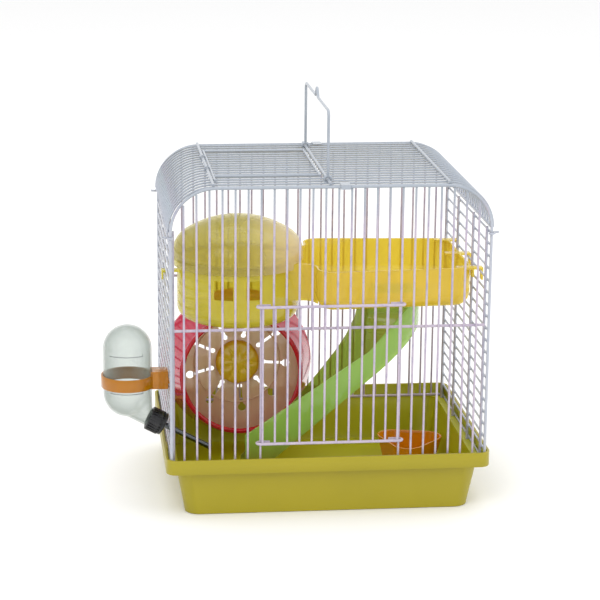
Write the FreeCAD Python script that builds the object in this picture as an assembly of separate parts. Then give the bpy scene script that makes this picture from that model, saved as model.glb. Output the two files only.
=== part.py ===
import FreeCAD, Part
import math
import os

os.makedirs("parts", exist_ok=True)
V = FreeCAD.Vector
UP = V(0, 0, 1)

# Hamster cage. Millimetres, +Z up, front towards -Y, origin at the centre of the tray's underside.

# ---- driving dimensions ----
cage_w = 261.0          # between the centres of the outermost front bars
cage_d = 195.0          # between the front and rear wire panels
roof_z = 276.0          # centre of the flat roof bars
shoulder_r = 36.0       # bend of the roof bars at both shoulders
bar_gap = 10.4          # wanted spacing of the bars
wire_d = 1.8            # infill wire
frame_d = 2.4           # frame wire
weld_gap = 0.02         # wires stop this short of each other at a weld
foot_z = 41.0           # lowest frame wire
mid_bar_z = 158.4       # cross wire above the doorway
door_bars = 12          # bars of the sliding door
door_low_z = 62.0       # door's lower wire
door_high_z = 178.0     # door's upper wire
door_gap = 0.8          # between door and panel wires
rim_margin_x = 4.5      # tray rim outside the bars, at each side
rim_margin_y = 6.0      # the same, front and rear
rim_z = 50.0            # top of the tray
tray_wall = 2.0
tray_corner_r = 12.0
rim_corner_r = 9.0
tray_in_x = 9.0         # how far the tray's tub stands in under its rim
tray_in_y = 6.5
tray_draft_x = 7.0      # and how much further its floor does
tray_draft_y = 4.2
floor_wire = 15         # side wire that carries the upper floor, counted from the lowest
shell = 1.6             # wall of the clear plastic parts
strap_t = 1.6           # hooks of the upper floor
deck_x0 = -6.0          # upper floor's tub, left end
deck_end_gap = 6.5      # between its right end and the right side wires
deck_half_d = 57.0      # at its right end
deck_flare = 9.0        # wider at its left end, each side
deck_depth = 34.5
deck_r = 13.0
neck_half_d = 33.0
neck_r = 10.0           # inner bend from the neck into the tub
shoulder_round = 14.0   # outer bend at the tub's left corners
neck_depth = 31.5
house_x = -67.8
house_r = 51.8
house_depth = 52.1
house_foot_r = 11.0
dome_gap = 2.3          # between the house wall and the dome's skirt
dome_rise = 35.9        # dome top above the house rim
dome_skirt = 4.5        # skirt below the house rim
dome_straight = 4.0     # straight part of the skirt above the rim
dome_knuckle_r = 22.0   # bend between the skirt and the crown
wheel_centre_x = -61.3
wheel_z = 81.8
wheel_back_gap = 17.0   # from the rear panel to the wheel's disc
wheel_depth = 44.0
wheel_r = 67.0          # at the closed rear side
wheel_lip_r = 54.5      # at the open front side
wheel_wall = 1.8
wheel_slots = 9         # keyhole slots in the rear disc
slot_reach = 0.66       # of the disc, to the slots' round ends
hub_r = 19.5
axle_r = 2.0
axle_fit = 0.05
slide_w = 46.0
slide_wall = 1.8
slide_turn_r = 27.0     # middle of the channel
slide_turn_x = 42.0     # where the quarter turn ends and the straight run starts
slide_turn_y = 19.0     # and where it starts
slide_back = 13.0       # straight part behind the turn, closed at its end
slide_top_drop = 29.0   # from the upper floor's underside to the slide's highest floor
slide_turn_drop = 40.0
slide_outer_h = 25.0    # front wall where the straight run starts
slide_outer_rise = 18.0  # and how much higher it is at the foot
slide_inner_h = 10.0    # rear wall at the foot
slide_foot_z = 4.0
slide_end_x = -64.0
bowl_x = 86.5
bowl_y = 18.0
bowl_reach = 31.0
bowl_corner_r = 14.0
bowl_turn = 17.0
bowl_h = 23.0
bottle_r = 20.2
bottle_y = -62.0
bottle_off = 34.3       # bottle axis outside the left side wires
bottle_top = 155.8
tube_r = 2.4
tube_angle = 28.3       # below horizontal
cap_r = 9.0
cap_len = 14.0
handle_span = 154.0
handle_h = 56.0
handle_d = 2.4

# ---- derived places ----
half_w = cage_w / 2
half_d = cage_d / 2
n_x = round(cage_w / bar_gap)
pitch_x = cage_w / n_x
n_y = round(cage_d / bar_gap)
pitch_y = cage_d / n_y
shoulder_z = roof_z - shoulder_r
flat_half = half_w - shoulder_r
wire_r = wire_d / 2
frame_r = frame_d / 2
side_top_z = shoulder_z - 4.0
n_side = round((side_top_z - foot_z) / bar_gap)
pitch_z = (side_top_z - foot_z) / n_side
ledge_z = foot_z - frame_r - 0.05
rail_z = roof_z + wire_r + frame_r + weld_gap
deck_z = foot_z + floor_wire * pitch_z + wire_r + 0.05 + strap_t


def side_z(k):
    return foot_z + k * pitch_z


def gap_near(value, start, pitch):
    """Middle of the gap between two bars that lies nearest to value."""
    return start + (round((value - start) / pitch - 0.5) + 0.5) * pitch


def save(name, *solids):
    shape = solids[0] if len(solids) == 1 else Part.makeCompound(list(solids))
    shape.exportStep("parts/%s.step" % name)
    print(name, len(shape.Solids), shape.isValid(), round(shape.Volume, 1))


def box(x0, x1, y0, y1, z0, z1):
    return Part.makeBox(x1 - x0, y1 - y0, z1 - z0, V(x0, y0, z0))


def rod(a, b, d):
    a, b = V(*a), V(*b)
    return Part.makeCylinder(d / 2, (b - a).Length, a, b - a)


def bent_rod(points, radii, d):
    """Round wire along a planar route of straight runs joined by tangent arcs."""
    points = [V(*p) for p in points]
    start = points[0]
    edges = []
    for i in range(1, len(points) - 1):
        corner = points[i]
        back = (points[i - 1] - corner).normalize()
        ahead = (points[i + 1] - corner).normalize()
        half = back.getAngle(ahead) / 2
        reach = radii[i - 1] / math.tan(half)
        first = corner + back * reach
        last = corner + ahead * reach
        bisector = (back + ahead).normalize()
        middle = corner + bisector * (radii[i - 1] / math.sin(half) - radii[i - 1])
        if (first - start).Length > 1e-6:
            edges.append(Part.LineSegment(start, first).toShape())
        edges.append(Part.Arc(first, middle, last).toShape())
        start = last
    edges.append(Part.LineSegment(start, points[-1]).toShape())
    heading = edges[0].tangentAt(edges[0].FirstParameter)
    profile = Part.Wire([Part.Circle(points[0], heading, d / 2).toShape()])
    return Part.Wire(edges).makePipeShell([profile], True, False)


def rounded_rect(hx, hy, r, z, cx=0.0, cy=0.0):
    """Closed outline of a rectangle with round corners at height z."""
    edges = []
    for sx, sy, turn in ((1, 1, 0), (-1, 1, 90), (-1, -1, 180), (1, -1, 270)):
        c = V(cx + sx * (hx - r), cy + sy * (hy - r), z)
        edges.append(Part.Edge(Part.Circle(c, UP, r), math.radians(turn), math.radians(turn + 90)))
    lines = []
    for i in range(4):
        a = edges[i].Vertexes[-1].Point
        b = edges[(i + 1) % 4].Vertexes[0].Point
        lines.append(Part.LineSegment(a, b).toShape())
    return Part.Wire([e for pair in zip(edges, lines) for e in pair])


def rounded_outline(corners, z):
    """Closed outline through (x, y, radius) corners at height z."""
    spots = [V(x, y, z) for x, y, r in corners]
    arcs = []
    for i, (x, y, r) in enumerate(corners):
        back = (spots[i - 1] - spots[i]).normalize()
        ahead = (spots[(i + 1) % len(spots)] - spots[i]).normalize()
        half = back.getAngle(ahead) / 2
        reach = r / math.tan(half)
        middle = spots[i] + (back + ahead).normalize() * (r / math.sin(half) - r)
        arcs.append(Part.Arc(spots[i] + back * reach, middle, spots[i] + ahead * reach).toShape())
    edges = []
    for i, arc in enumerate(arcs):
        edges.append(arc)
        a = arc.Vertexes[-1].Point
        b = arcs[(i + 1) % len(arcs)].Vertexes[0].Point
        edges.append(Part.LineSegment(a, b).toShape())
    return Part.Wire(edges)


def prism(outline, height):
    return Part.Face(outline).extrude(V(0, 0, height))


def revolve(profile, centre, axis=UP):
    """Solid of revolution from a closed list of (radius, height) points about +Z at centre."""
    wire = Part.makePolygon([V(r, 0, h) for r, h in profile + profile[:1]])
    solid = Part.Face(wire).revolve(V(0, 0, 0), UP, 360)
    solid.Placement = FreeCAD.Placement(V(*centre), FreeCAD.Rotation(UP, axis))
    return solid


def arch_under(x, clear):
    """Height of the underside of the panel arch over a bar of half width clear at x."""
    reach = abs(x) + clear - flat_half
    inner = shoulder_r - frame_r
    if reach <= 0:
        return roof_z - frame_r - weld_gap
    return shoulder_z + math.sqrt(max(inner ** 2 - reach ** 2, 0)) - weld_gap


# ---- tray ----
def tray_outline(grow, z, level):
    """Outline of the tub's outside at a share level of its draft, grown by grow."""
    hx = half_w + rim_margin_x - tray_in_x - tray_draft_x * (1 - level) + grow
    hy = half_d + rim_margin_y - tray_in_y - tray_draft_y * (1 - level) + grow
    return rounded_rect(hx, hy, tray_corner_r + grow, z)


def make_tray():
    skirt_z = ledge_z - tray_wall
    rim_hx = half_w + rim_margin_x
    rim_hy = half_d + rim_margin_y
    rim_r = rim_corner_r
    tub = Part.makeLoft([tray_outline(0, 0, 0), tray_outline(0, skirt_z, 1)], True, True)
    collar = prism(rounded_rect(rim_hx, rim_hy, rim_r, skirt_z), rim_z - skirt_z)
    low = tray_wall / skirt_z
    hollow = Part.makeLoft([tray_outline(-tray_wall, tray_wall, low), tray_outline(-tray_wall, skirt_z, 1)],
                           True, True)
    throat = prism(tray_outline(-tray_wall, skirt_z - 0.01, 1), tray_wall + 1)
    well = prism(rounded_rect(rim_hx - tray_wall, rim_hy - tray_wall, rim_r - tray_wall, ledge_z), rim_z)
    tray = tub.fuse(collar).cut(hollow).cut(throat).cut(well)
    for side in (-1, 1):
        for y in (-0.62 * half_d, 0.2 * half_d):
            x0, x1 = sorted((side * (half_w + frame_r + 0.3), side * (rim_hx - tray_wall + 0.2)))
            tray = tray.fuse(box(x0, x1, y - 7, y + 7, ledge_z - 0.2, rim_z + 1.2))
    save("base_tray", tray.removeSplitter())


# ---- wire panels ----
def panel_arch(y):
    return bent_rod([(-half_w, y, ledge_z + 0.05), (-half_w, y, roof_z), (half_w, y, roof_z),
                     (half_w, y, ledge_z + 0.05)], [shoulder_r] * 2, frame_d)


def make_front_rear():
    first = round((n_x - (door_bars - 1)) / 2)
    last = n_x - first
    for name, side in (("front_panel", -1), ("rear_panel", 1)):
        y = side * half_d
        inner_y = y - side * (wire_r + frame_r + weld_gap)
        bar_end = half_w - frame_d - 0.2
        save(name.replace("panel", "frame"), panel_arch(y))
        solids = []
        for i in range(1, n_x):
            x = -half_w + i * pitch_x
            above_door = side < 0 and first < i < last
            low = mid_bar_z - frame_r if above_door else ledge_z + 0.05
            solids.append(rod((x, y, low), (x, y, arch_under(x, wire_r)), wire_d))
        solids.append(rod((-bar_end, inner_y, mid_bar_z), (bar_end, inner_y, mid_bar_z), frame_d))
        gate = -half_w + first * pitch_x + wire_r
        if side < 0:
            solids.append(rod((-bar_end, inner_y, foot_z), (gate, inner_y, foot_z), frame_d))
            solids.append(rod((-gate, inner_y, foot_z), (bar_end, inner_y, foot_z), frame_d))
        else:
            solids.append(rod((-bar_end, inner_y, foot_z), (bar_end, inner_y, foot_z), frame_d))
        save(name, *solids)


def make_sides():
    reach = half_d - frame_r - 0.25
    for name, side in (("left_panel", -1), ("right_panel", 1)):
        x = side * half_w
        post_x = x - side * (wire_r + frame_r + weld_gap)
        solids = [rod((x, -reach, side_z(k)), (x, reach, side_z(k)), wire_d) for k in range(n_side + 1)]
        for y in (-reach + 7, -0.34 * half_d, 0.34 * half_d, reach - 7):
            solids.append(rod((post_x, y, ledge_z + 0.05), (post_x, y, shoulder_z - weld_gap), frame_d))
        save(name, *solids)


# ---- roof ----
bend_half = flat_half + 2.0
hatch_hinge_x = -(flat_half + 1.3)
carry_x = -1.5
hatch_x0 = hatch_hinge_x + 2.9
hatch_x1 = carry_x - 4.0
clip_x = gap_near(carry_x + 11.5, -half_w, pitch_x)
clip_len = pitch_x - wire_d - 0.64


def roof_y(k):
    return -half_d + (k + 0.5) * pitch_y


hatch_rows = [k for k in range(n_y) if abs(roof_y(k)) < 0.57 * half_d]


def make_roof():
    solids = []
    for k in range(n_y):
        start = carry_x - frame_r if k in hatch_rows else -bend_half
        solids.append(rod((start, roof_y(k), roof_z), (bend_half, roof_y(k), roof_z), wire_d))
    rail = half_d - frame_d - 0.3
    for x in (hatch_hinge_x, carry_x, flat_half + 1.3):
        solids.append(rod((x, -rail, rail_z), (x, rail, rail_z), frame_d))
    save("roof_panel", *solids)
    for name, side in (("left_shoulder", -1), ("right_shoulder", 1)):
        bends = []
        for k in range(n_y):
            y = roof_y(k)
            centre = V(side * bend_half, y, shoulder_z)
            ring = Part.Face(Part.Wire([Part.Circle(centre + V(side * shoulder_r, 0, 0), UP, wire_r).toShape()]))
            bends.append(ring.revolve(centre, V(0, -side, 0), 90))
        rail_x = side * (bend_half + shoulder_r - wire_r - frame_r - weld_gap)
        bends.append(rod((rail_x, -rail, shoulder_z + frame_r), (rail_x, rail, shoulder_z + frame_r), frame_d))
        save(name, *bends)


def make_clips():
    """Folded sheet clips that tie the roof to the front and rear arches."""
    sheet = 0.6
    top = roof_z + frame_r + 0.1
    for name, side in (("front_roof_clip", -1), ("rear_roof_clip", 1)):
        outer = half_d + frame_r + 0.1
        plates = [(outer - 12.5, outer + sheet, top, top + sheet),
                  (outer, outer + sheet, roof_z - frame_r - 0.7, top),
                  (outer - 3.2, outer, roof_z - frame_r - 0.7, roof_z - frame_r - 0.7 + sheet)]
        solid = None
        for y0, y1, z0, z1 in plates:
            lo, hi = sorted((side * y0, side * y1))
            plate = box(clip_x - clip_len / 2, clip_x + clip_len / 2, lo, hi, z0, z1)
            solid = plate if solid is None else solid.fuse(plate)
        save(name, solid.removeSplitter())


def make_hatch():
    rod_d = 2.0
    rod_z = roof_z + wire_r + rod_d / 2 + weld_gap
    edge_y = roof_y(hatch_rows[0]) - 0.75 * pitch_y
    solids = []
    left = rod((hatch_x0, edge_y - 1.5 * pitch_y, rod_z), (hatch_x0, -edge_y, rod_z), rod_d)
    for y in (0.45 * edge_y, -0.45 * edge_y):
        ring_y = gap_near(y, roof_y(0), pitch_y)
        ring = Part.makeTorus(frame_r + 0.35 + 0.6, 0.6, V(hatch_hinge_x, ring_y, rail_z), V(0, 1, 0))
        left = left.fuse(ring)
    solids.append(left)
    solids.append(rod((hatch_x1, edge_y, rod_z), (hatch_x1, -edge_y, rod_z), rod_d))
    for k in hatch_rows:
        y = roof_y(k)
        solids.append(rod((hatch_x0 - 1, y, roof_z), (hatch_x1 + 1, y, roof_z), wire_d))
    inner = rod_d / 2 + weld_gap
    for y in (edge_y + rod_d, -edge_y - rod_d):
        solids.append(rod((hatch_x0 + inner, y, rod_z), (hatch_x1 - inner, y, rod_z), rod_d))
    save("roof_hatch", *solids)


def make_handle():
    ring_r = frame_r + 0.35 + handle_d / 2
    low = rail_z + ring_r
    top = rail_z + handle_h
    y = gap_near(handle_span / 2, roof_y(0), pitch_y)
    peak = 8.0
    bail = bent_rod([(carry_x, -y, low), (carry_x, -y, top), (carry_x, -peak, top), (carry_x, 0, top + peak),
                     (carry_x, peak, top), (carry_x, y, top), (carry_x, y, low)],
                    [5, 2.5, 2.2, 2.5, 5], handle_d)
    for side in (-1, 1):
        bail = bail.fuse(Part.makeTorus(ring_r, handle_d / 2, V(carry_x, side * y, rail_z), V(0, 1, 0)))
    save("carry_handle", bail.removeSplitter())


# ---- sliding door ----
def make_door():
    y = -(half_d + wire_r + door_gap + frame_r)
    first = round((n_x - (door_bars - 1)) / 2)
    grip_x = half_w - first * pitch_x
    back = 2 * half_d + y
    solids = []
    for z in (door_low_z, door_high_z):
        turn = (-y - back) / 2
        end = grip_x + turn
        solids.append(bent_rod([(-grip_x + 8, -back, z), (-end, -back, z), (-end, y, z), (end, y, z),
                                (end, -back, z), (grip_x - 8, -back, z)], [turn - 0.01] * 4, frame_d))
    save("door_rails", *solids)
    solids = []
    step = 2 * (grip_x - 1.4) / (door_bars - 1)
    for i in range(door_bars):
        x = -(grip_x - 1.4) + i * step
        solids.append(rod((x, y, door_low_z + frame_r + weld_gap), (x, y, door_high_z - frame_r - weld_gap),
                          wire_d))
    save("door_bars", *solids)


# ---- upper floor and house ----
deck_x1 = half_w - deck_end_gap
deck_low = deck_z - deck_depth
neck_low = deck_z - neck_depth
house_low = deck_z - house_depth


def soft_foot(solid, z, r):
    """The same solid with its lowest edges rounded."""
    return solid.makeFillet(r, [e for e in solid.Edges if abs(e.BoundBox.ZMax - z) < 1e-6])


def floor_body(inset):
    """The upper floor's outer form, or its hollow when inset is the wall."""
    top = deck_z + (1 if inset else 0)
    low = deck_low + inset
    wide = deck_half_d + deck_flare - inset
    slim = deck_half_d - inset
    corner = [(deck_x0 + inset, -wide, shoulder_round - inset), (deck_x1 - inset, -slim, deck_r - inset),
              (deck_x1 - inset, slim, deck_r - inset), (deck_x0 + inset, wide, shoulder_round - inset)]
    tub = soft_foot(prism(rounded_outline(corner, low), top - low), low, deck_r - 1 - inset)
    half = neck_half_d - inset
    reach = deck_x0 + inset
    low = neck_low + inset
    run = [(house_x, -half), (reach - neck_r - inset, -half), (reach + 2.0, -half - neck_r - inset - 2.0),
           (reach + 2.0, half + neck_r + inset + 2.0), (reach - neck_r - inset, half), (house_x, half)]
    neck = Part.Face(Part.makePolygon([V(x, y, low) for x, y in run + run[:1]])).extrude(V(0, 0, top - low))
    for side in (-1, 1):
        scoop = Part.makeCylinder(neck_r + inset, top - low + 2, V(reach - neck_r - inset,
                                  side * (half + neck_r + inset), low - 1))
        neck = neck.cut(scoop)
    house = Part.makeCylinder(house_r - inset, top - house_low - inset, V(house_x, 0, house_low + inset))
    house = soft_foot(house, house_low + inset, house_foot_r - inset)
    return tub.fuse(neck).fuse(house)


def floor_hook(side, y, wire, x_in, width, drop):
    """Strap that goes out over a side wire and turns down behind it."""
    z0 = side_z(wire) + wire_r + 0.05
    x_out = half_w + wire_r + 0.3
    top = box(x_in, x_out + 1.4, y - width / 2, y + width / 2, z0, z0 + strap_t)
    tail = box(x_out, x_out + 1.4, y - width / 2, y + width / 2, z0 - drop, z0 + 0.1)
    hook = top.fuse(tail)
    if side < 0:
        hook = hook.mirror(V(0, 0, 0), V(1, 0, 0))
    return hook


def make_upper_floor():
    body = floor_body(0).cut(floor_body(shell))
    for offset, width in ((-16.0, 15.5), (9.3, 13.0)):
        mid = house_x + offset
        window = box(mid - width / 2, mid + width / 2, -house_r - 5, -house_r + 12,
                     house_low + 25.8, house_low + 42.2)
        body = body.cut(window)
    mouth_x = slide_turn_x + slide_turn_r
    mouth = prism(rounded_rect(slide_w / 2 - slide_wall - 1.5, 19, 6, deck_low - 5, mouth_x, slide_turn_y - 8), 12)
    body = body.cut(mouth)
    for y in (-(deck_half_d - 4.0), 0.0, deck_half_d - 4.0):
        strap = floor_hook(1, y, floor_wire, deck_x1 - 0.5, 8.0, 9.0)
        web = box(deck_x1 - 0.5, deck_x1 + 1.5, y - 4, y + 4, deck_z - 8, deck_z - 0.2)
        corner = box(deck_x1 - deck_r, deck_x1, y - 4, y + 4, deck_z - strap_t, deck_z)
        body = body.fuse(strap).fuse(web).fuse(corner)
    lug = floor_hook(-1, 0, floor_wire - 1, -house_x + house_r - shell + 0.2, 9.0, 6.0)
    body = body.fuse(lug)
    save("upper_floor", body.removeSplitter())


def make_dome():
    outer = house_r + dome_gap + shell
    low = deck_z - dome_skirt
    knee = deck_z + dome_straight
    crown = deck_z + dome_rise

    # a large crown arc that runs tangent into a small knuckle arc, drawn for both faces of the wall
    knuckle_r = dome_knuckle_r
    rise = crown - knee
    knuckle_x = outer - knuckle_r
    crown_r = (knuckle_x ** 2 + rise ** 2 - knuckle_r ** 2) / (2 * (rise - knuckle_r))
    crown_z = crown - crown_r
    lean = math.atan2(knee - crown_z, knuckle_x)

    def arcs(inset):
        edges = []
        for cx, cz, r, a0, a1 in ((knuckle_x, knee, knuckle_r, 0.0, lean), (0.0, crown_z, crown_r, lean, math.pi / 2)):
            spots = [a0, (a0 + a1) / 2, a1]
            points = [V(cx + (r - inset) * math.cos(t), 0, cz + (r - inset) * math.sin(t)) for t in spots]
            points[2].x = 0.0 if a1 > lean else points[2].x
            edges.append(Part.Arc(*points).toShape())
        return edges

    inside = outer - shell
    lip = house_r - 3.5
    corners = [(inside, knee), (inside, deck_z + 1.6), (lip, deck_z + 1.6), (lip, deck_z + 0.05),
               (inside, deck_z + 0.05), (inside, low), (outer, low), (outer, knee)]
    edges = arcs(0) + arcs(shell)
    edges.append(Part.LineSegment(V(0, 0, crown), V(0, 0, crown - shell)).toShape())
    for a, b in zip(corners, corners[1:]):
        edges.append(Part.LineSegment(V(a[0], 0, a[1]), V(b[0], 0, b[1])).toShape())
    profile = Part.Wire(Part.__sortEdges__(edges))
    cap = Part.Face(profile).revolve(V(0, 0, 0), UP, 360)
    cap.translate(V(house_x, 0, 0))
    notch = box(house_x + 20, house_x + outer + 5, -neck_half_d - 1, neck_half_d + 1, low - 1, deck_z + 0.05)
    save("house_dome", cap.cut(notch))


# ---- slide from the upper floor to the tray ----
def slide_stations():
    """Middle, heading, floor height and the two wall heights along the slide."""
    high = deck_low - slide_top_drop
    full = slide_top_drop + 5
    stations = [(V(slide_turn_x + slide_turn_r, slide_turn_y + slide_back, 0), V(0, -1, 0), high, full, full)]
    for i in range(9):
        turn = math.radians(90 * i / 8)
        spot = V(slide_turn_x + slide_turn_r * math.cos(turn), slide_turn_y - slide_turn_r * math.sin(turn), 0)
        floor = high - slide_turn_drop * (1 - math.cos(turn))
        outer = slide_outer_h + (full - slide_outer_h) * math.cos(turn) ** 0.7
        stations.append((spot, V(-math.sin(turn), -math.cos(turn), 0), floor, outer, deck_low + 5 - floor))
    run = slide_turn_x - slide_end_x
    start = high - slide_turn_drop
    y = slide_turn_y - slide_turn_r
    for share in (0.06, 0.13, 0.2, 0.34, 0.5, 0.75, 1.0):
        floor = start - (start - slide_foot_z) * share
        outer = slide_outer_h + slide_outer_rise * share
        inner = slide_inner_h + 1.36 * slide_outer_h * (1 - share) ** 1.6 + slide_outer_h * math.exp(-16 * share)
        stations.append((V(slide_turn_x - run * share, y, 0), V(-1, 0, 0), floor, outer, inner))
    return stations


def make_slide():
    half = slide_w / 2
    wires = []
    for spot, heading, floor, outer, inner in slide_stations():
        outward = UP.cross(heading)
        section = [(half, 0), (half, outer), (half - slide_wall, outer), (half - slide_wall, 3),
                   (-half + slide_wall, 3), (-half + slide_wall, inner), (-half, inner), (-half, 0)]
        points = [spot + outward * a + UP * (floor + b) for a, b in section]
        wires.append(Part.makePolygon(points + points[:1]))
    chute = Part.makeLoft(wires, True, True)
    x = slide_turn_x + slide_turn_r
    y = slide_turn_y + slide_back
    chute = chute.fuse(box(x - half, x + half, y - 0.5, y + slide_wall, deck_low - slide_top_drop, deck_low + 1))
    keep = box(-300, 300, -300, 300, 0, deck_low - 0.05)
    save("floor_slide", chute.common(keep))


# ---- exercise wheel ----
wheel_x = wheel_centre_x
rear_y = half_d - wheel_back_gap


def make_wheel():
    back = V(wheel_x, rear_y, wheel_z)
    aim = V(0, -1, 0)
    rear_band = 4.0
    profile = [(wheel_r, -rear_band), (wheel_r, 0), (wheel_lip_r, wheel_depth - 2.5),
               (wheel_lip_r, wheel_depth), (wheel_lip_r - 3.5, wheel_depth),
               (wheel_lip_r - 3.5, wheel_depth - 2.5), (wheel_lip_r - wheel_wall, wheel_depth - 3.5),
               (wheel_r - wheel_wall, 0), (wheel_r - wheel_wall, -rear_band)]
    save("wheel_drum", revolve(profile, back, aim))
    disc_r = wheel_r - wheel_wall - 0.05
    disc = Part.makeCylinder(disc_r, 2.0, back + V(0, 0.02, 0), V(0, 1, 0))
    disc = disc.cut(Part.makeCylinder(6.05, 10, back + V(0, -4, 0), V(0, 1, 0)))
    for i in range(wheel_slots):
        slot = box(hub_r + 3, slot_reach * wheel_r, -1.4, 1.4, -5, 5)
        slot = slot.fuse(Part.makeCylinder(3.6, 10, V(slot_reach * wheel_r, 0, -5)))
        slot = slot.fuse(Part.makeCylinder(2.3, 10, V(hub_r + 4.5, 0, -5)))
        slot.rotate(V(0, 0, 0), UP, 360 * i / wheel_slots - 4)
        slot.Placement = FreeCAD.Placement(back, FreeCAD.Rotation(UP, aim)).multiply(slot.Placement)
        disc = disc.cut(slot)
    save("wheel_disc", disc)
    hub = revolve([(0, -9), (6, -9), (6, 0), (hub_r, 0), (hub_r, 2.5), (hub_r - 3, 5), (0, 6.5)], back, aim)
    bore = Part.makeCylinder(axle_r + axle_fit, 12.0, back + V(0, -2.8, 0), V(0, 1, 0))
    pocket = Part.makeCylinder(axle_r + 1.0, 2.0, back + V(0, -2.8, 0), V(0, 1, 0))
    save("wheel_hub", hub.cut(bore).cut(pocket))
    inner_y = half_d - wire_r
    plate_y = inner_y - 3.0
    axle = Part.makeCylinder(axle_r, inner_y - 0.3 - (rear_y - 2.4), back + V(0, -2.4, 0), V(0, 1, 0))
    head = Part.makeCylinder(axle_r + 0.6, 1.2, back + V(0, -2.4, 0), V(0, 1, 0))
    save("wheel_axle", axle.fuse(head).removeSplitter())
    boss_y = rear_y + 9.6
    screw_off = 9.0 + pitch_x / 2
    screws_x = [gap_near(wheel_x + side * screw_off, -half_w, pitch_x) for side in (-1, 1)]
    reach = max(17.0, max(abs(x - wheel_x) for x in screws_x) + 4.0)
    bracket = box(wheel_x - reach, wheel_x + reach, plate_y, inner_y - 0.1, wheel_z - 11, wheel_z + 11)
    bracket = bracket.makeFillet(4, [e for e in bracket.Edges if e.BoundBox.XLength < 1e-6
                                     and e.BoundBox.ZLength < 1e-6])
    bracket = bracket.fuse(Part.makeCylinder(6, plate_y - boss_y + 0.5, V(wheel_x, boss_y, wheel_z), V(0, 1, 0)))
    bracket = bracket.cut(Part.makeCylinder(axle_r, 40, V(wheel_x, boss_y - 5, wheel_z), V(0, 1, 0)))
    rear_plate = box(wheel_x - reach, wheel_x + reach, half_d + wire_r + 0.1, half_d + wire_r + 2.3,
                     wheel_z - 8, wheel_z + 8)
    for name, x in zip(("wheel_screw_left", "wheel_screw_right"), screws_x):
        hole = Part.makeCylinder(1.5, 60, V(x, boss_y, wheel_z), V(0, 1, 0))
        bracket = bracket.cut(hole)
        rear_plate = rear_plate.cut(hole)
        shank = Part.makeCylinder(1.45, half_d + wire_r + 2.3 - plate_y, V(x, plate_y, wheel_z), V(0, 1, 0))
        head = Part.makeCylinder(2.8, 1.6, V(x, plate_y - 1.6, wheel_z), V(0, 1, 0))
        save(name, shank.fuse(head).removeSplitter())
    save("wheel_bracket", bracket.removeSplitter())
    save("wheel_back_plate", rear_plate)


# ---- food bowl ----
def bowl_outline(scale, z):
    """Rounded triangle: three equal corner arcs joined by straight sides."""
    r = bowl_corner_r * scale
    reach = (bowl_reach - bowl_corner_r) * scale
    centres = []
    for i in range(3):
        a = math.radians(bowl_turn + 120 * i)
        centres.append((V(bowl_x + reach * math.cos(a), bowl_y + reach * math.sin(a), z), a))
    edges = []
    for c, a in centres:
        edges.append(Part.Edge(Part.Circle(c, UP, r), a - math.pi / 3, a + math.pi / 3))
    lines = []
    for i in range(3):
        lines.append(Part.LineSegment(edges[i].Vertexes[-1].Point, edges[(i + 1) % 3].Vertexes[0].Point).toShape())
    return Part.Wire([e for pair in zip(edges, lines) for e in pair])


def make_bowl():
    low = tray_wall + 0.05
    wall = 1.8
    outer = Part.makeLoft([bowl_outline(0.8, low), bowl_outline(1.0, low + bowl_h)], True, True)
    inner_low = 0.8 + 0.2 * wall / bowl_h - wall / bowl_reach
    inner_top = 1.0 - wall / bowl_reach
    inner = Part.makeLoft([bowl_outline(inner_low, low + wall), bowl_outline(inner_top, low + bowl_h + 0.01)],
                          True, True)
    save("food_bowl", outer.cut(inner))


# ---- drinking bottle ----
bottle_x = -(half_w + bottle_off)
tube_dir = V(math.cos(math.radians(tube_angle)), 0, -math.sin(math.radians(tube_angle)))
tube_cross = V(-half_w, bottle_y, (side_z(2) + side_z(3)) / 2)


def along_tube(t):
    """Point on the tube's axis, t millimetres inwards from the side wires."""
    return tube_cross + tube_dir * t


def bottle_form(inset):
    low = 98.0
    dome = bottle_top - bottle_r
    r = bottle_r - inset
    form = Part.makeCylinder(r, dome - low, V(bottle_x, bottle_y, low))
    form = form.fuse(Part.makeSphere(r, V(bottle_x, bottle_y, dome)))
    form = form.fuse(Part.makeSphere(r, V(bottle_x, bottle_y, low)))
    start = along_tube(-37.0)
    end = along_tube(-9.5 + (1 if inset else 0))
    neck_r = cap_r - 1.6 - inset
    form = form.fuse(Part.makeCylinder(neck_r, (end - start).Length, start, tube_dir))
    ring = Part.makeCircle(neck_r - 0.3, V(0, 0, 0))
    ring.rotate(V(0, 0, 0), V(0, 1, 0), math.degrees(math.atan2(tube_dir.x, -tube_dir.z)) * -1)
    ring.translate(along_tube(-5.4 - cap_len - 0.1))
    body = Part.makeCircle(r - 0.1, V(bottle_x, bottle_y, low + 5.0))
    shoulder = Part.makeLoft([Part.Wire(body), Part.Wire(ring)], True, True)
    return form.fuse(shoulder)


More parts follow.
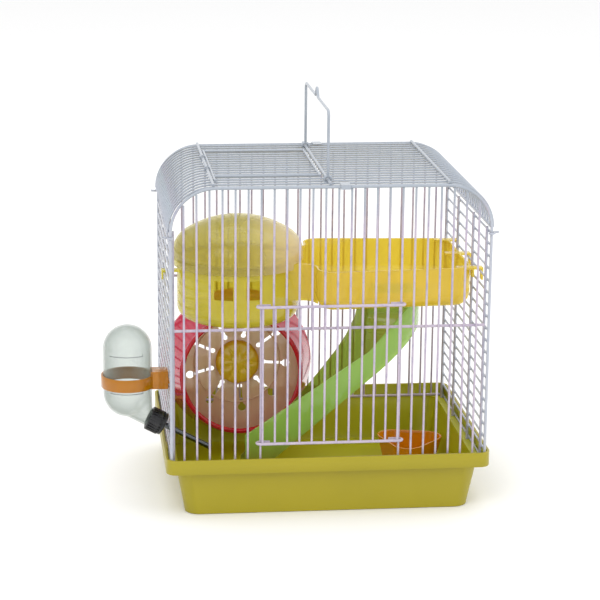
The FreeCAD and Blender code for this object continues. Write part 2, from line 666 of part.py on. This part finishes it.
def make_bottle():
    save("water_bottle", bottle_form(0).cut(bottle_form(1.4)).removeSplitter())
    face = along_tube(-5.4)
    mouth = along_tube(-5.4 - cap_len)
    cap = Part.makeCylinder(cap_r, cap_len, mouth, tube_dir)
    cap = cap.fuse(Part.makeCone(cap_r - 0.2, cap_r + 1.1, cap_len - 4.8, mouth, tube_dir))
    cap = cap.fuse(Part.makeCone(cap_r + 1.1, cap_r, 1.8, along_tube(-5.4 - 4.8), tube_dir))
    cap = cap.fuse(Part.makeCylinder(cap_r + 0.6, 2.4, along_tube(-5.4 - 2.4), tube_dir))
    cap = cap.cut(Part.makeCylinder(cap_r - 1.55, cap_len - 2.2, mouth, tube_dir))
    cap = cap.cut(Part.makeCylinder(tube_r, 30, mouth, tube_dir))
    save("bottle_cap", cap.removeSplitter())
    seal = Part.makeCylinder(cap_r - 1.6, 1.75, along_tube(-5.4 - 2.2 - 1.8), tube_dir)
    save("cap_seal", seal.cut(Part.makeCylinder(tube_r, 30, mouth, tube_dir)))
    length = 40.9 - 2.0
    start = along_tube(-9.6)
    tube = Part.makeCylinder(tube_r, length + 9.6, start, tube_dir)
    tube = tube.cut(Part.makeCylinder(tube_r - 0.35, length + 7.6, start, tube_dir))
    tube = tube.cut(Part.makeCylinder(tube_r - 1.1, 60, start, tube_dir))
    save("drinking_tube", tube)
    ball_r = tube_r - 0.45
    seat = math.sqrt(ball_r ** 2 - (tube_r - 1.1) ** 2)
    ball = along_tube(length - 2.0 - seat - 0.1)
    save("tube_ball", Part.makeSphere(ball_r, ball))


def make_holder():
    """Ring round the bottle with a plate and two claws that grip the side wires."""
    low = side_z(6) + wire_r
    high = low + 10.5
    ring = Part.makeCylinder(bottle_r + 1.9, high - low, V(bottle_x, bottle_y, low))
    plate_x1 = -(half_w + wire_r + 0.15)
    plate = box(bottle_x + bottle_r - 2, plate_x1, bottle_y - 8, bottle_y + 8, low - 1.5, high + 3)
    ring = ring.fuse(plate)
    bore = Part.makeCylinder(bottle_r + 0.1, 60, V(bottle_x, bottle_y, low - 20))
    ring = ring.cut(bore)
    claw_z = (side_z(6) + side_z(7)) / 2
    finger_x = -(half_w - wire_r - 0.2)
    for y in (bottle_y - 5.5, bottle_y + 5.5):
        finger = box(plate_x1 - 0.5, finger_x + 1.5, y - 1.5, y + 1.5, claw_z - 1.2, claw_z + 1.2)
        tip = box(finger_x, finger_x + 1.5, y - 1.5, y + 1.5, claw_z - 1.2, side_z(7) + wire_r)
        ring = ring.fuse(finger).fuse(tip)
    save("bottle_holder", ring.removeSplitter())


make_tray()
make_front_rear()
make_sides()
make_roof()
make_clips()
make_hatch()
make_handle()
make_door()
make_upper_floor()
make_dome()
make_slide()
make_wheel()
make_bowl()
make_bottle()
make_holder()
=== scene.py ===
import math

import bmesh
import bpy
from mathutils import Matrix, Vector


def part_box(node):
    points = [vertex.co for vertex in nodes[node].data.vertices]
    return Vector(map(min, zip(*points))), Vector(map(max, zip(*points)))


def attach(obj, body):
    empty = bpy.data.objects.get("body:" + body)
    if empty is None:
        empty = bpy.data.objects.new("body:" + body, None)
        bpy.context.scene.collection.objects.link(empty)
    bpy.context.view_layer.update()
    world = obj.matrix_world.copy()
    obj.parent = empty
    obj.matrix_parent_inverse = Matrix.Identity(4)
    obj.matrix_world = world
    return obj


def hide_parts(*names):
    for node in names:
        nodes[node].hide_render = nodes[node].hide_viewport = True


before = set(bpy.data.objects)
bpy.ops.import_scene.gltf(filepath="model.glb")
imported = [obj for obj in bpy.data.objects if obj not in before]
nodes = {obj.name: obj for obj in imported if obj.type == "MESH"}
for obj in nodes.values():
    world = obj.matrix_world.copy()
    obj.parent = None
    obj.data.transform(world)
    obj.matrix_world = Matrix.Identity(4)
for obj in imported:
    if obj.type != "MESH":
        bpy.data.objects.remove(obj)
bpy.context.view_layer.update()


# a socket that can be added, multiplied and so on; plain numbers mix in freely
class Wire:
    def __init__(self, kit, socket):
        self.kit, self.socket = kit, socket

    def math(self, operation, *others, clamp=False):
        return self.kit.node("ShaderNodeMath", {"operation": operation, "use_clamp": clamp},
                             {0: self, **{i + 1: other for i, other in enumerate(others)}})

    def __add__(self, other): return self.math("ADD", other)
    def __radd__(self, other): return self.math("ADD", other)
    def __mul__(self, other): return self.math("MULTIPLY", other)
    def __rmul__(self, other): return self.math("MULTIPLY", other)
    def __sub__(self, other): return self.math("SUBTRACT", other)
    def __pow__(self, other): return self.math("POWER", other)

    def __rsub__(self, other):
        return self.kit.node("ShaderNodeMath", {"operation": "SUBTRACT"}, {0: other, 1: self})

    def clamped(self):
        return self.math("ADD", 0.0, clamp=True)

    def ramp(self, low, high):
        return self.kit.node("ShaderNodeMapRange", {"interpolation_type": "SMOOTHSTEP"},
                             {"Value": self, "From Min": low, "From Max": high})


class Kit:
    def __init__(self, name):
        self.material = bpy.data.materials.new(name)
        self.material.use_nodes = True
        self.tree = self.material.node_tree
        self.tree.nodes.clear()
        self.output = self.tree.nodes.new("ShaderNodeOutputMaterial")
        self.place = self.node("ShaderNodeTexCoord", {}, {}, "Object")

    def node(self, kind, settings, values, wanted=0):
        made = self.tree.nodes.new(kind)
        for key, value in settings.items():
            setattr(made, key, value)
        for key, value in values.items():
            socket = made.inputs[key]
            if isinstance(value, Wire):
                self.tree.links.new(value.socket, socket)
            elif hasattr(socket.default_value, "__len__") and len(socket.default_value) == 4 and len(value) == 3:
                socket.default_value = (*value, 1)
            else:
                socket.default_value = value
        return Wire(self, made.outputs[wanted])

    def noise(self, scale, detail=3.0, rough=0.5, stretch=(1, 1, 1)):
        spot = self.node("ShaderNodeVectorMath", {"operation": "MULTIPLY"}, {0: self.place, 1: stretch})
        return self.node("ShaderNodeTexNoise", {},
                         {"Vector": spot, "Scale": scale, "Detail": detail, "Roughness": rough})

    def axis(self, letter):
        return self.node("ShaderNodeSeparateXYZ", {}, {0: self.place}, letter)

    def mix(self, amount, first, second):
        return self.node("ShaderNodeMix", {"data_type": "RGBA"}, {0: amount, 6: first, 7: second}, 2)

    def bump(self, height, strength, distance):
        return self.node("ShaderNodeBump", {}, {"Height": height, "Strength": strength, "Distance": distance})

    def shader(self, values):
        return self.node("ShaderNodeBsdfPrincipled", {}, values)

    def blend(self, amount, first, second):
        return self.node("ShaderNodeMixShader", {}, {0: amount, 1: first, 2: second})

    def finish(self, surface):
        self.tree.links.new(surface.socket, self.output.inputs["Surface"])
        return self.material


# powder coat on the wires, with a painted bluish, darker reflection on the roof and the side grilles
wirePaint = {"colour": (0.49, 0.42, 0.51), "shade": (0.27, 0.24, 0.38), "high": (0.30, 0.36, 0.40),
             "sideReflection": (0.38, 0.46, 0.50), "rough": 0.28, "roofReflectionZ": (0.235, 0.272), "sideReflectionX": (0.1265, 0.1295)}


def makeWirePaint():
    kit = Kit("wirePaint")
    drips = kit.noise(160, 4, 0.6)
    # painted bluish reflection on the roof wires, set by height
    height = kit.axis("Z").ramp(*wirePaint["roofReflectionZ"])
    tone = kit.mix(drips.ramp(0.42, 0.72) * 0.6, wirePaint["colour"], wirePaint["shade"])
    tone = kit.mix(height * 0.8, tone, wirePaint["high"])
    # painted bluish reflection on the side grilles, set by distance from the middle
    sideReflection = kit.axis("X").math("ABSOLUTE").ramp(*wirePaint["sideReflectionX"])
    tone = kit.mix(sideReflection * 0.6, tone, wirePaint["sideReflection"])
    grain = kit.noise(900, 2)
    return kit.finish(kit.shader({"Base Color": tone, "Roughness": drips * 0.2 + (wirePaint["rough"] - 0.1),
                                  "Coat Weight": 0.4, "Coat Roughness": 0.12,
                                  "Normal": kit.bump(grain + drips * 1.5, 0.15, 0.0003)}))


def makeSteel(name, colour, rough):
    kit = Kit(name)
    streak = kit.noise(700, 3, 0.6, (0.4, 1, 1.6))
    return kit.finish(kit.shader({"Base Color": kit.mix(streak, colour, [c * 0.6 for c in colour]), "Metallic": 1.0,
                                  "Roughness": streak * 0.2 + rough, "Normal": kit.bump(streak, 0.1, 0.0002)}))


# opaque moulded plastic with faint flow marks and scuffs
def makePlastic(name, colour, deep, rough=0.3, coat=0.3, grain=500):
    kit = Kit(name)
    flow = kit.noise(14, 4, 0.55)
    fine = kit.noise(grain, 3)
    scuff = kit.noise(70, 6, 0.7, (1, 1, 3)).ramp(0.58, 0.75)
    tone = kit.mix(flow.ramp(0.3, 0.7) * 0.5, colour, deep)
    return kit.finish(kit.shader({"Base Color": tone, "Roughness": scuff * 0.18 + rough, "Coat Weight": coat,
                                  "Coat Roughness": 0.12,
                                  "Normal": kit.bump(fine + scuff * 0.6, 0.12, 0.0002)}))


# see-through moulded plastic: a tinted clear part under a thin coloured, glossy part
def makeClear(name, colour, tint, solid, edge, rough=0.12, streaks=0.1, other=None, where=None):
    kit = Kit(name)
    flow = kit.noise(18, 4, 0.6)
    scratch = kit.noise(60, 6, 0.7, (1, 1, 4)).ramp(0.55, 0.8)
    wave = kit.noise(35, 2)
    facing = kit.node("ShaderNodeLayerWeight", {}, {"Blend": 0.35}, "Facing")
    through = kit.node("ShaderNodeBsdfTransparent", {}, {"Color": tint})
    tone = kit.mix(flow.ramp(0.35, 0.7) * 0.3, colour, [c * 0.8 for c in colour])
    # a second colour where the mask puts it: a real tint on the house tub, painted light on the dome and painted
    # shade in the slide
    if other:
        tone = kit.mix(where(kit), tone, other)
    skin = kit.shader({"Base Color": tone,
                       "Roughness": scratch * 0.2 + rough, "Coat Weight": 0.5, "Coat Roughness": 0.06,
                       "Normal": kit.bump(wave + scratch * 0.15, 0.12, 0.0012)})
    amount = (facing * edge + flow * streaks + (solid - streaks * 0.5)).clamped()
    return kit.finish(kit.blend(amount, through, skin))


# where one tint of a moulding gives way to another, in metres: a real tint on the house tub, painted light on the
# dome's right side and painted shade in the slide
tintsAndPaintedLight = {"tubX": (-0.045, 0.0), "domeLitX": (-0.07, -0.015), "slideShadeTurn": (0.042, 0.019),
         "slideShadeWall": (0.0462, 0.0484), "slideShadeFootZ": (0.015, 0.055)}


def tubTint(kit):
    return 1 - kit.axis("X").ramp(*tintsAndPaintedLight["tubX"])


# painted light: the dome turns lighter and pinker towards its right side, standing for the light and sheen there
def domeLitSide(kit):
    return kit.axis("X").ramp(*tintsAndPaintedLight["domeLitX"])


# painted shade in the slide's trough, inside the line its outer wall follows, and low down at its foot
def slideShade(kit):
    turnX, turnY = tintsAndPaintedLight["slideShadeTurn"]
    past = (kit.axis("X") - turnX).math("MAXIMUM", 0.0)
    across = kit.axis("Y") - turnY
    reach = (past * past + across * across) ** 0.5
    return 1 - reach.ramp(*tintsAndPaintedLight["slideShadeWall"]) * kit.axis("Z").ramp(*tintsAndPaintedLight["slideShadeFootZ"])


paint = makeWirePaint()
steel = makeSteel("tubeSteel", (0.14, 0.15, 0.16), rough=0.1)
screwSteel = makeSteel("screwSteel", (0.62, 0.62, 0.64), rough=0.22)
trayPlastic = makePlastic("trayPlastic", (0.35, 0.29, 0.003), (0.31, 0.26, 0.002), rough=0.42, coat=0.03)
# a lighter, greener copy of the tray plastic: painted light on the tray's inside and upward faces
trayLitInside = makePlastic("trayLitInside", (0.47, 0.475, 0.004), (0.42, 0.42, 0.003), rough=0.42, coat=0.06)
blackPlastic = makePlastic("capPlastic", (0.006, 0.006, 0.008), (0.012, 0.012, 0.014), rough=0.3, coat=0.15)
sealRubber = makePlastic("sealRubber", (0.05, 0.05, 0.05), (0.03, 0.03, 0.03), rough=0.7, coat=0.0)
markGrey = makePlastic("markGrey", (0.16, 0.17, 0.18), (0.2, 0.2, 0.21), rough=0.4, coat=0.2)
ochrePlastic = makeClear("ochrePlastic", (0.92, 0.70, 0.04), (0.95, 0.84, 0.20), solid=0.96, edge=0.04)
floorClear = makeClear("floorClear", (0.82, 0.62, 0.08), (0.98, 0.90, 0.28), solid=0.52, edge=0.2,
                       other=(0.68, 0.62, 0.07), where=tubTint)
# the dome's second colour is painted light on its right side
domeClear = makeClear("domeClear", (0.52, 0.46, 0.10), (0.95, 0.90, 0.50), solid=0.36, edge=0.35,
                      other=(0.86, 0.72, 0.50), where=domeLitSide)
# the slide's second colour, dark olive, is painted shade in the trough and at the foot
slideClear = makeClear("slideClear", (0.42, 0.68, 0.14), (0.70, 0.90, 0.36), solid=0.60, edge=0.2,
                       other=(0.33, 0.30, 0.045), where=slideShade)
wheelRed = makeClear("wheelRed", (0.68, 0.014, 0.07), (0.82, 0.16, 0.28), solid=0.66, edge=0.3)
lipRed = makeClear("lipRed", (0.66, 0.008, 0.03), (0.9, 0.12, 0.2), solid=0.85, edge=0.15, rough=0.08)
discClear = makeClear("discClear", (0.96, 0.79, 0.52), (0.98, 0.92, 0.80), solid=0.76, edge=0.1)
bowlOrange = makeClear("bowlOrange", (0.80, 0.30, 0.003), (0.98, 0.62, 0.08), solid=0.70, edge=0.2)
holderOrange = makeClear("holderOrange", (0.46, 0.175, 0.001), (0.96, 0.60, 0.06), solid=0.68, edge=0.25)
bottleClear = makeClear("bottleClear", (0.40, 0.45, 0.42), (0.905, 0.92, 0.91), solid=0.06, edge=0.52, rough=0.04,
                        streaks=0.06)
print("materials made")

finishes = {
    paint: ["front_frame", "front_panel", "rear_frame", "rear_panel", "left_panel", "right_panel", "roof_panel",
            "left_shoulder", "right_shoulder", "front_roof_clip", "rear_roof_clip", "roof_hatch", "carry_handle",
            "door_rails", "door_bars"],
    trayPlastic: ["base_tray"],
    floorClear: ["upper_floor"],
    domeClear: ["house_dome"],
    slideClear: ["floor_slide"],
    wheelRed: ["wheel_drum"],
    discClear: ["wheel_disc"],
    ochrePlastic: ["wheel_hub", "wheel_bracket", "wheel_back_plate"],
    steel: ["drinking_tube", "tube_ball", "wheel_axle"],
    screwSteel: ["wheel_screw_left", "wheel_screw_right"],
    bowlOrange: ["food_bowl"],
    bottleClear: ["water_bottle"],
    blackPlastic: ["bottle_cap"],
    sealRubber: ["cap_seal"],
    holderOrange: ["bottle_holder"],
}
for material, names in finishes.items():
    for name in names:
        node = nodes[name]
        node.data.materials.clear()
        node.data.materials.append(material)
print("finishes set on the carried-over nodes")


def addPiece(name, mesh, body, material, smooth=True):
    piece = bpy.data.objects.new(name, mesh)
    bpy.context.collection.objects.link(piece)
    mesh.materials.clear()
    mesh.materials.append(material)
    if smooth:
        mesh.shade_smooth()
    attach(piece, body)
    return piece


# a copy of a node with its hard edges rounded over, shown in the node's place
softened = {
    "base_tray": ("tray", "tray", 0.9, 3),
    "upper_floor": ("cage", "floor_clear", 0.5, 2),
    "floor_slide": ("cage", "slide_clear", 0.5, 2),
    "food_bowl": ("bowl", "bowl_orange", 0.5, 2),
    "bottle_cap": ("cage", "cap_black", 0.5, 2),
    "bottle_holder": ("cage", "holder_orange", 0.5, 2),
    "wheel_disc": ("wheel", "disc_clear", 0.4, 2),
}
soft = {"weld": 2e-6, "hard": math.radians(38), "crease": math.radians(40)}
# faces of the tray that take the lighter copy of its plastic as painted light on its inside: below the rim, and
# turned up or towards the middle
trayLitFaces = {"rim": 0.0485, "inward": -0.02, "upward": 0.7}


def soften(name, body, width, steps):
    form = bmesh.new()
    form.from_mesh(nodes[name].data)
    bmesh.ops.remove_doubles(form, verts=form.verts, dist=soft["weld"])
    hard = [edge for edge in form.edges if len(edge.link_faces) == 2 and edge.calc_face_angle(0) > soft["hard"]]
    bmesh.ops.bevel(form, geom=hard, offset=width / 1000, offset_type="OFFSET", segments=steps, profile=0.5,
                    affect="EDGES", clamp_overlap=True)
    form.normal_update()
    mesh = bpy.data.meshes.new(name + "Soft")
    form.to_mesh(mesh)
    form.free()
    piece = addPiece(name + "Soft", mesh, body, nodes[name].data.materials[0])
    mesh.set_sharp_from_angle(angle=soft["crease"])
    # the tray's inside and upward faces get the lighter copy of its plastic as painted light
    if name == "base_tray":
        mesh.materials.append(trayLitInside)
        for face in mesh.polygons:
            inward = face.normal.x * face.center.x + face.normal.y * face.center.y < trayLitFaces["inward"]
            upward = face.normal.z > trayLitFaces["upward"]
            face.material_index = int(face.center.z < trayLitFaces["rim"] and (inward or upward))
    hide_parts(name)


for name, (body, slot, width, steps) in softened.items():
    soften(name, body, width, steps)
print("soft-edged plastics made")


# boxes of the separate wires in a node, in metres
def wiresOf(name):
    form = bmesh.new()
    form.from_mesh(nodes[name].data)
    bmesh.ops.remove_doubles(form, verts=form.verts, dist=soft["weld"])
    left = set(form.verts)
    boxes = []
    while left:
        group = [left.pop()]
        corners = []
        while group:
            vert = group.pop()
            corners.append(vert.co.copy())
            for edge in vert.link_edges:
                other = edge.other_vert(vert)
                if other in left:
                    left.remove(other)
                    group.append(other)
        boxes.append(tuple((min(c[k] for c in corners), max(c[k] for c in corners)) for k in range(3)))
    form.free()
    return boxes


def middle(span):
    return (span[0] + span[1]) / 2


# weld beads where an upright and a cross wire of one panel meet
beads = {"size": (0.0012, 0.0012, 0.0010), "stretch": 1.5, "rings": 5, "around": 8, "side": 0.001, "end": 0.002,
         "frame": (-0.0002, 0.0018)}


def crossings(uprights, crosses, run):
    found = []
    for post in uprights:
        for bar in crosses:
            along, level = middle(post[run]), middle(bar[2])
            beside = bar[run][0] - beads["side"] < along < bar[run][1] + beads["side"]
            if beside and post[2][0] - beads["end"] < level < post[2][1] + beads["end"]:
                spot = [middle(post[0]), middle(post[1]), level]
                spot[1 - run] = (middle(post[1 - run]) + middle(bar[1 - run])) / 2
                found.append((Vector(spot), run))
    return found


def makeBeads():
    spots = []
    for name, run in (("front_panel", 0), ("rear_panel", 0), ("left_panel", 1), ("right_panel", 1)):
        wires = wiresOf(name)
        upright = [w for w in wires if w[2][1] - w[2][0] > w[run][1] - w[run][0]]
        cross = [w for w in wires if w not in upright]
        low = min(w[2][0] for w in wires)
        if name in ("front_panel", "rear_panel"):
            bend = wiresOf(name.replace("panel", "frame"))[0]
            cross.append((bend[0], bend[1], tuple(low + step for step in beads["frame"])))
        spots += crossings(upright, cross, run)
    mesh = bpy.data.meshes.new("weldBeads")
    form = bmesh.new()
    for spot, run in spots:
        wide, deep, tall = beads["size"]
        size = (wide, deep * beads["stretch"], tall) if run == 0 else (wide * beads["stretch"], deep, tall)
        bmesh.ops.create_uvsphere(form, u_segments=beads["around"], v_segments=beads["rings"], radius=1,
                                  matrix=Matrix.Translation(spot) @ Matrix.Diagonal((*size, 1)))
    form.to_mesh(mesh)
    form.free()
    addPiece("weldBeads", mesh, "cage", paint)
    print("weld beads:", len(spots))


makeBeads()


# a round bar swept along a path of points
def sweep(name, path, radius, body, material, around=10, closed=False):
    form = bmesh.new()
    rings = []
    count = len(path)
    for k, point in enumerate(path):
        before = path[(k - 1) % count] if closed or k else path[k]
        after = path[(k + 1) % count] if closed or k < count - 1 else path[k]
        ahead = (after - before).normalized()
        side = ahead.cross(Vector((0.13, 0.31, 0.94))).normalized()
        over = ahead.cross(side)
        rings.append([form.verts.new(point + (side * math.cos(a) + over * math.sin(a)) * radius)
                      for a in (2 * math.pi * i / around for i in range(around))])
    for k in range(count if closed else count - 1):
        first, second = rings[k], rings[(k + 1) % count]
        for i in range(around):
            form.faces.new((first[i], first[(i + 1) % around], second[(i + 1) % around], second[i]))
    if not closed:
        form.faces.new(rings[0])
        form.faces.new(rings[-1])
    bmesh.ops.recalc_face_normals(form, faces=form.faces)
    mesh = bpy.data.meshes.new(name)
    form.to_mesh(mesh)
    form.free()
    return addPiece(name, mesh, body, material)


def arc(centre, radius, start, stop, steps, across, over):
    return [centre + across * (radius * math.cos(a)) + over * (radius * math.sin(a))
            for a in (math.radians(start + (stop - start) * i / steps) for i in range(steps + 1))]


# side wires' ends turned round the corner posts
hooks = {"reach": 0.0052, "bend": 0.0023, "wire": 0.0009, "turn": (-60, 150), "steps": 8, "inset": 1.4,
         "tail": (0.0006, 0.0005)}


def makeHooks():
    for side, sign in (("left", -1), ("right", 1)):
        panel = wiresOf(side + "_panel")
        top = max(middle(w[2]) for w in panel if w[1][1] - w[1][0] > 0.1)
        postX = sign * (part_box("front_frame")[1][0] - hooks["wire"] * hooks["inset"])
        for place, away in (("front", -1), ("rear", 1)):
            low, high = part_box(place + "_frame")
            centre = Vector((postX, (low[1] + high[1]) / 2, top))
            loop = arc(centre, hooks["bend"], *hooks["turn"], hooks["steps"], Vector((sign, 0, 0)),
                       Vector((0, away, 0)))
            back, rise = hooks["tail"]
            tail = [loop[0] + Vector((sign * hooks["reach"], -away * back, rise))]
            sweep(side + place.capitalize() + "Hook", tail + loop, hooks["wire"], "cage", paint, around=8)
    print("corner hooks made")


makeHooks()


# rolled lip and raised ring on the disc, then the hub's petalled cap
wheel = {"lip": 0.0021, "ring": 0.575, "ringWire": 0.0008, "turn": (0, 357), "steps": 119}
hub = {"petals": 9, "rise": 0.0030, "cone": 0.30, "rows": 14, "around": 144, "proud": 0.0004, "sink": -0.2,
       "tip": 0.95, "slope": 0.25, "base": 0.25, "swell": 0.75, "fan": 0.12, "notch": 0.05, "round": 0.6,
       "bulge": 0.8}


# 0 between two petals, 1 at the middle of one
def petalLobe(turn):
    return abs(math.sin(turn * hub["petals"] / 2)) ** hub["round"]


# how far the hub cap stands out at one place, as a share of its rise
def petalHeight(part, turn):
    lobe = petalLobe(turn)
    if part < hub["cone"]:
        return hub["tip"] - hub["slope"] * part / hub["cone"] - hub["slope"] * (1 - lobe) * part
    fan = hub["fan"] * abs(math.sin(turn * hub["petals"] * 3))
    swell = math.sin(math.pi * min(1, (part - hub["cone"]) / (1 - hub["cone"])) ** hub["bulge"])
    return hub["base"] + swell * (hub["swell"] * lobe - fan)


def makeHub(centre):
    low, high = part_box("wheel_hub")
    radius = (high[0] - low[0]) / 2
    form = bmesh.new()
    rows = []
    for r in range(hub["rows"] + 1):
        part = r / hub["rows"]
        row = []
        for i in range(hub["around"]):
            turn = 2 * math.pi * i / hub["around"]
            height = hub["sink"] if r == hub["rows"] else petalHeight(part, turn)
            edge = radius * part * (1 - hub["notch"] * (1 - petalLobe(turn)) * part)
            y = low[1] + hub["proud"] - height * hub["rise"]
            row.append(form.verts.new((centre.x + edge * math.cos(turn), y, centre.z + edge * math.sin(turn))))
        rows.append(row)
    for inner, outer in zip(rows, rows[1:]):
        for i in range(hub["around"]):
            after = (i + 1) % hub["around"]
            form.faces.new((inner[i], inner[after], outer[after], outer[i]))
    bmesh.ops.remove_doubles(form, verts=form.verts, dist=1e-6)
    bmesh.ops.recalc_face_normals(form, faces=form.faces)
    mesh = bpy.data.meshes.new("hubPetals")
    form.to_mesh(mesh)
    form.free()
    addPiece("hubPetals", mesh, "wheel", ochrePlastic)


def makeWheelTrim():
    (x0, y0, z0), (x1, y1, z1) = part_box("wheel_drum")
    centre = Vector(((x0 + x1) / 2, y0, (z0 + z1) / 2))
    across, over = Vector((1, 0, 0)), Vector((0, 0, 1))
    front = [v.co for v in nodes["wheel_drum"].data.vertices if v.co.y < y0 + 0.0005]
    reach = max((v - centre).length for v in front)
    lip = arc(centre + Vector((0, wheel["lip"] * 0.6, 0)), reach - wheel["lip"], *wheel["turn"], wheel["steps"],
              across, over)
    sweep("wheelLip", lip, wheel["lip"], "wheel", lipRed, around=12, closed=True)
    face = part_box("wheel_disc")[0][1]
    ring = arc(centre - Vector((0, y0 - face, 0)), (x1 - x0) / 2 * wheel["ring"], *wheel["turn"], wheel["steps"],
               across, over)
    sweep("discRing", ring, wheel["ringWire"], "wheel", discClear, around=8, closed=True)
    makeHub(centre)
    print("wheel trim made")


makeWheelTrim()


# bottle: moulded window outline, ribs round the cap
bottle = {"lines": (0.1332, 0.1015), "half": 42, "line": 0.00032, "tick": 0.0022, "turn": 0.1}
cap = {"ribs": 24, "rib": (0.0006, 0.0052), "tilt": math.radians(28.3), "radius": 0.0096, "back": 0.0012}


def makeBottleTrim():
    low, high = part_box("water_bottle")
    radius = (high[1] - low[1]) / 2
    middleY = (low[1] + high[1]) / 2
    middleX = low[0] + radius
    across = Vector((math.cos(bottle["turn"]), -math.sin(bottle["turn"]), 0))
    over = Vector((-math.sin(bottle["turn"]), -math.cos(bottle["turn"]), 0))
    for k, level in enumerate(bottle["lines"]):
        centre = Vector((middleX, middleY, level))
        line = arc(centre, radius + 0.0001, 90 - bottle["half"], 90 + bottle["half"], 24, across, over)
        line.insert(0, line[0] + Vector((0, 0, bottle["tick"])))
        sweep("bottleLine%d" % k, line, bottle["line"], "cage", markGrey, around=6)
    print("bottle lines made")


def makeCapRibs():
    low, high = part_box("bottle_cap")
    centre = Vector([(a + b) / 2 for a, b in zip(low, high)])
    inward = Vector((math.cos(cap["tilt"]), 0, -math.sin(cap["tilt"])))
    side = Vector((0, 1, 0))
    up = inward.cross(side).normalized()
    thick, half = cap["rib"]
    form = bmesh.new()
    for k in range(cap["ribs"]):
        turn = 2 * math.pi * k / cap["ribs"]
        out = side * math.cos(turn) + up * math.sin(turn)
        basis = Matrix((inward, out, inward.cross(out))).transposed().to_4x4()
        place = Matrix.Translation(centre + out * cap["radius"] - inward * cap["back"])
        bmesh.ops.create_cube(form, size=2, matrix=place @ basis @ Matrix.Diagonal((half, thick, thick, 1)))
    mesh = bpy.data.meshes.new("capRibs")
    form.to_mesh(mesh)
    form.free()
    addPiece("capRibs", mesh, "cage", blackPlastic, smooth=False)
    print("cap ribs made")


makeBottleTrim()
makeCapRibs()


# floor, lights and camera
studio = {"half": 6.0, "drop": 0.0005, "floor": (0.94, 0.94, 0.94), "rough": 0.9, "world": (1, 1, 1, 1)}


def makeFloor():
    mesh = bpy.data.meshes.new("studioFloor")
    half, drop = studio["half"], studio["drop"]
    corners = [(x * half, y * half, -drop) for x, y in ((-1, -1), (1, -1), (1, 1), (-1, 1))]
    mesh.from_pydata(corners, [], [(0, 1, 2, 3)])
    floor = bpy.data.objects.new("studioFloor", mesh)
    bpy.context.collection.objects.link(floor)
    kit = Kit("studioFloorPaint")
    mesh.materials.append(kit.finish(kit.shader({"Base Color": studio["floor"], "Roughness": studio["rough"]})))


# place, size and power of each soft lamp, and the height they aim at
lamps = {"key": ((-1.1, -1.6, 1.9), 1.6, 16), "fill": ((1.6, -1.1, 1.1), 1.4, 7), "top": ((0.1, 0.5, 2.2), 2.0, 14)}
lampAim = Vector((0, 0, 0.15))


def makeLights():
    for name, (place, size, power) in lamps.items():
        lamp = bpy.data.lights.new(name, "AREA")
        lamp.size, lamp.energy = size, power
        obj = bpy.data.objects.new(name, lamp)
        obj.location = place
        obj.rotation_mode = "QUATERNION"
        obj.rotation_quaternion = (Vector(place) - lampAim).to_track_quat("Z", "Y")
        bpy.context.collection.objects.link(obj)
    world = bpy.data.worlds.new("studioWorld")
    bpy.context.scene.world = world
    world.use_nodes = True
    world.node_tree.nodes["Background"].inputs[0].default_value = studio["world"]
    world.node_tree.nodes["Background"].inputs[1].default_value = 1.0
    bpy.context.scene.view_settings.view_transform = "Standard"


camera = {"place": (-0.22131, -1.74207, 0.60737), "yaw": 6.11, "pitch": 14.61, "roll": 0.39, "lens": 126.49,
          "shiftX": 0.040, "shiftY": 0.0145}


def makeCamera():
    yaw, pitch, roll = (math.radians(camera[key]) for key in ("yaw", "pitch", "roll"))
    ahead = Vector((math.sin(yaw) * math.cos(pitch), math.cos(yaw) * math.cos(pitch), -math.sin(pitch)))
    right = Vector((math.cos(yaw), -math.sin(yaw), 0))
    up = right.cross(ahead)
    across = right * math.cos(roll) + up * math.sin(roll)
    over = up * math.cos(roll) - right * math.sin(roll)
    data = bpy.data.cameras.new("studioCamera")
    data.lens, data.sensor_width = camera["lens"], 36
    data.shift_x, data.shift_y = camera["shiftX"], camera["shiftY"]
    obj = bpy.data.objects.new("studioCamera", data)
    turn = Matrix((across, over, -ahead)).transposed().to_4x4()
    obj.matrix_world = Matrix.Translation(camera["place"]) @ turn
    bpy.context.collection.objects.link(obj)
    bpy.context.scene.camera = obj


makeFloor()
makeLights()
makeCamera()
print("floor, lights and camera set")
